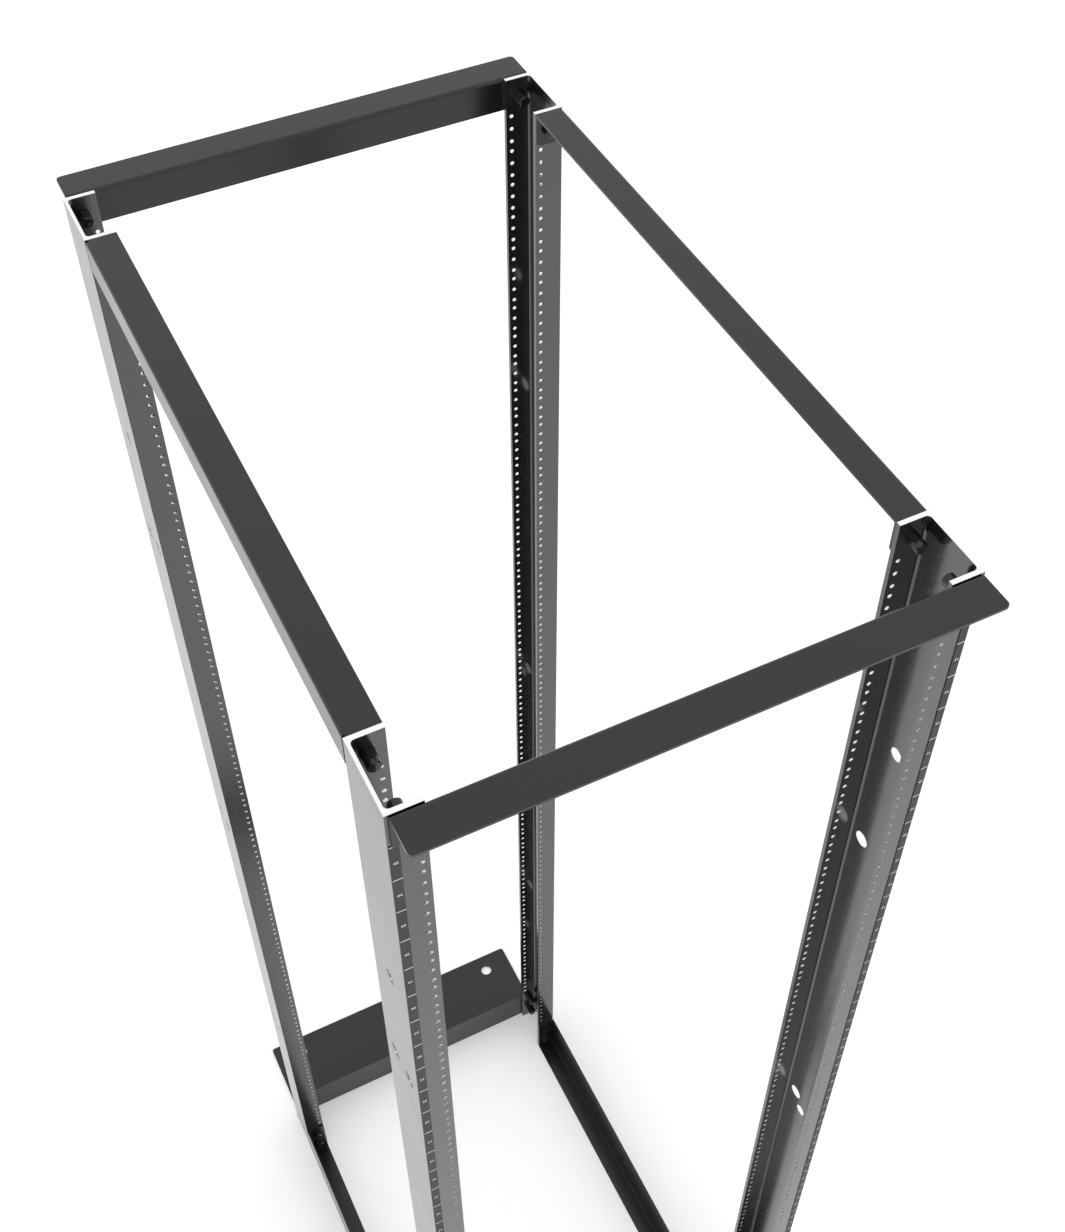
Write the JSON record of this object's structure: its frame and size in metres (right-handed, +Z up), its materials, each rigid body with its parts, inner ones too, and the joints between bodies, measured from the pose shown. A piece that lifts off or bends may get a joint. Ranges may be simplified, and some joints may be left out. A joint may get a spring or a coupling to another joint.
{
  "type": "four post open frame rack",
  "caption": "Tall open frame equipment rack: channel posts with rows of unit holes, cross angles, side rails and wide floor angles that bolt down.",
  "frame": {"origin": "on the floor, in the middle of the rack's width and depth", "axes": "+X to the rack's right as seen from the front, +Y from the front to the rear, +Z up along the posts"},
  "size_m": [0.516, 1.1146, 2.1336],
  "materials": {
    "post_coat": "fine black powder coat on extruded channel",
    "frame_coat": "fine black powder coat on bent plate",
    "bare_cut": "bare sawn ends of the posts",
    "bolt_black": "glossy black frame bolts and threaded inserts",
    "unit_print": "raised black strip with white unit lines and plain numbers"
  },
  "bodies": {
    "root": {"front_left_post": "post_coat", "front_right_post": "post_coat", "rear_left_post": "post_coat", "rear_right_post": "post_coat", "top_front_angle": "frame_coat", "top_rear_angle": "frame_coat", "base_front_angle": "frame_coat", "base_rear_angle": "frame_coat", "top_left_rail": "frame_coat", "top_right_rail": "frame_coat", "base_left_rail": "frame_coat", "base_right_rail": "frame_coat", "top_left_front_plate": "frame_coat", "top_left_rear_plate": "frame_coat", "top_right_front_plate": "frame_coat", "top_right_rear_plate": "frame_coat", "base_left_front_plate": "frame_coat", "base_left_rear_plate": "frame_coat", "base_right_front_plate": "frame_coat", "base_right_rear_plate": "frame_coat", "front_left_number_strip": "unit_print", "front_right_number_strip": "unit_print"}
  },
  "joints": []
}
